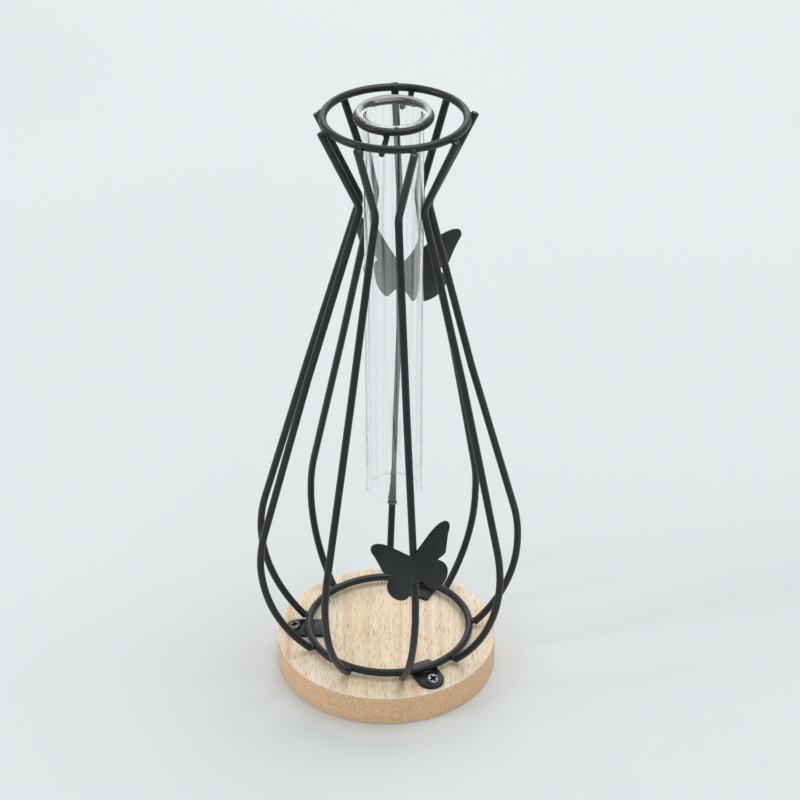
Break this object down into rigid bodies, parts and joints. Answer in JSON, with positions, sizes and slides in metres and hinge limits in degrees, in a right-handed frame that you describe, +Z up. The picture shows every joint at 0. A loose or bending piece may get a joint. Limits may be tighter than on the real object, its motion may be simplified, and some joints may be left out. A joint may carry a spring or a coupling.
{
  "type": "bud vase",
  "caption": "Bud vase: a flat-bottomed glass tube hangs by its lip in a bottle-shaped cage of bent black wire on a round wooden base, with folded sheet butterflies on the wires.",
  "frame": {"origin": "centre of the wooden base's underside", "axes": "+Z up along the cage; -Y is the side that the picture shows, with the lower butterfly"},
  "size_m": [0.0958, 0.1011, 0.2231],
  "materials": {
    "base_wood": "bare pale wood, sawn edge",
    "black_paint": "satin black powder coat",
    "screw_zinc": "zinc plated",
    "tube_glass": "clear"
  },
  "bodies": {
    "cage": {"wood_base": "base_wood", "mounting_tab_1": "black_paint", "mounting_tab_2": "black_paint", "mounting_tab_3": "black_paint", "tab_screw_1": "screw_zinc", "tab_screw_2": "screw_zinc", "tab_screw_3": "screw_zinc", "base_ring": "black_paint", "top_ring": "black_paint", "tube_ring": "black_paint", "rib_wire_1": "black_paint", "rib_wire_2": "black_paint", "rib_wire_3": "black_paint", "rib_wire_4": "black_paint", "rib_wire_5": "black_paint", "rib_wire_6": "black_paint", "rib_wire_7": "black_paint", "rib_wire_8": "black_paint", "rib_wire_9": "black_paint", "tube_ring_arm_front": "black_paint", "tube_ring_arm_back": "black_paint", "butterfly_lower": "black_paint", "butterfly_upper": "black_paint"},
    "tube": {"glass_tube": "tube_glass"}
  },
  "joints": [
    {"name": "tube_lift", "type": "slide", "parent": "cage", "child": "tube", "axis": [0, 0, 1], "range_m": [0, 0.15]}
  ]
}
